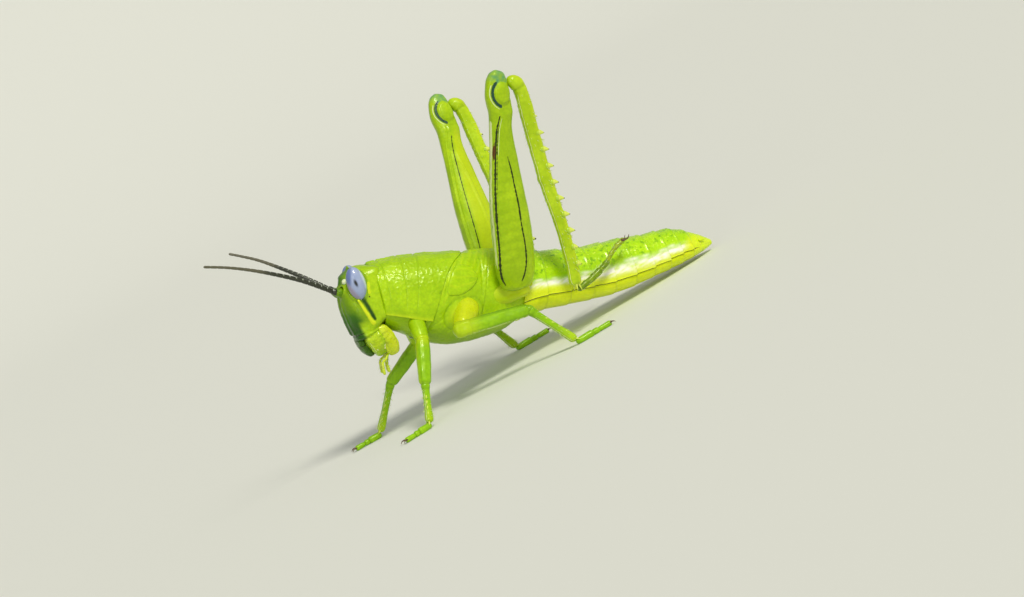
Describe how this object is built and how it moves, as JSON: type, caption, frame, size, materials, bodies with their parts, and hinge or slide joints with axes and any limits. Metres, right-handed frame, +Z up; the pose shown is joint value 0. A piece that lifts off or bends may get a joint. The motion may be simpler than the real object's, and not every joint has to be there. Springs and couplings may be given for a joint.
{
  "type": "short-horned grasshopper nymph",
  "caption": "Life-size still model of a young green grasshopper, standing with its hind knees raised over its back and its feelers held forward.",
  "frame": {"origin": "on the floor, under the middle of the box round the whole animal", "axes": "+X from the head to the tail, +Z up, and -Y towards the animal's left side"},
  "size_m": [0.057, 0.0232, 0.0319],
  "materials": {
    "green_cuticle": "smooth, waxy lime-green insect cuticle with fine dots and dark veins",
    "yellow_green_cuticle": "smooth, waxy yellow-green insect cuticle",
    "dark_green_cuticle": "smooth, semi-gloss dark green insect cuticle of the face",
    "eye": "gloss, blue-grey compound eye with a dark spot at its middle",
    "black_brown_cuticle": "matt, near-black feeler with pale joints"
  },
  "bodies": {
    "root": {"abdomen_1": "green_cuticle", "abdomen_2": "green_cuticle", "abdomen_3": "green_cuticle", "abdomen_4": "green_cuticle", "abdomen_5": "green_cuticle", "abdomen_6": "green_cuticle", "abdomen_7": "green_cuticle", "abdomen_8": "green_cuticle", "abdomen_9": "green_cuticle", "abdomen_tip": "yellow_green_cuticle", "antenna_left": "black_brown_cuticle", "antenna_right": "black_brown_cuticle", "clypeus_labrum": "dark_green_cuticle", "coxa_front_left": "yellow_green_cuticle", "coxa_front_right": "yellow_green_cuticle", "coxa_hind_left": "yellow_green_cuticle", "coxa_hind_right": "yellow_green_cuticle", "coxa_middle_left": "yellow_green_cuticle", "coxa_middle_right": "yellow_green_cuticle", "eye_left": "eye", "eye_right": "eye", "femur_front_left": "green_cuticle", "femur_front_right": "green_cuticle", "femur_hind_left": "green_cuticle", "femur_hind_right": "green_cuticle", "femur_middle_left": "green_cuticle", "femur_middle_right": "green_cuticle", "head": "dark_green_cuticle", "labial_palp_left": "yellow_green_cuticle", "labial_palp_right": "yellow_green_cuticle", "labium": "yellow_green_cuticle", "mandible_left": "dark_green_cuticle", "mandible_right": "dark_green_cuticle", "maxilla_left": "yellow_green_cuticle", "maxilla_right": "yellow_green_cuticle", "maxillary_palp_left": "yellow_green_cuticle", "maxillary_palp_right": "yellow_green_cuticle", "mesothorax": "green_cuticle", "metathorax": "green_cuticle", "pronotum": "green_cuticle", "prosternum": "green_cuticle", "tarsus_front_left": "green_cuticle", "tarsus_front_right": "green_cuticle", "tarsus_hind_left": "green_cuticle", "tarsus_hind_right": "green_cuticle", "tarsus_middle_left": "green_cuticle", "tarsus_middle_right": "green_cuticle", "tibia_front_left": "green_cuticle", "tibia_front_right": "green_cuticle", "tibia_hind_left": "green_cuticle", "tibia_hind_right": "green_cuticle", "tibia_middle_left": "green_cuticle", "tibia_middle_right": "green_cuticle", "wing_pad_left": "yellow_green_cuticle", "wing_pad_right": "yellow_green_cuticle"}
  },
  "joints": []
}
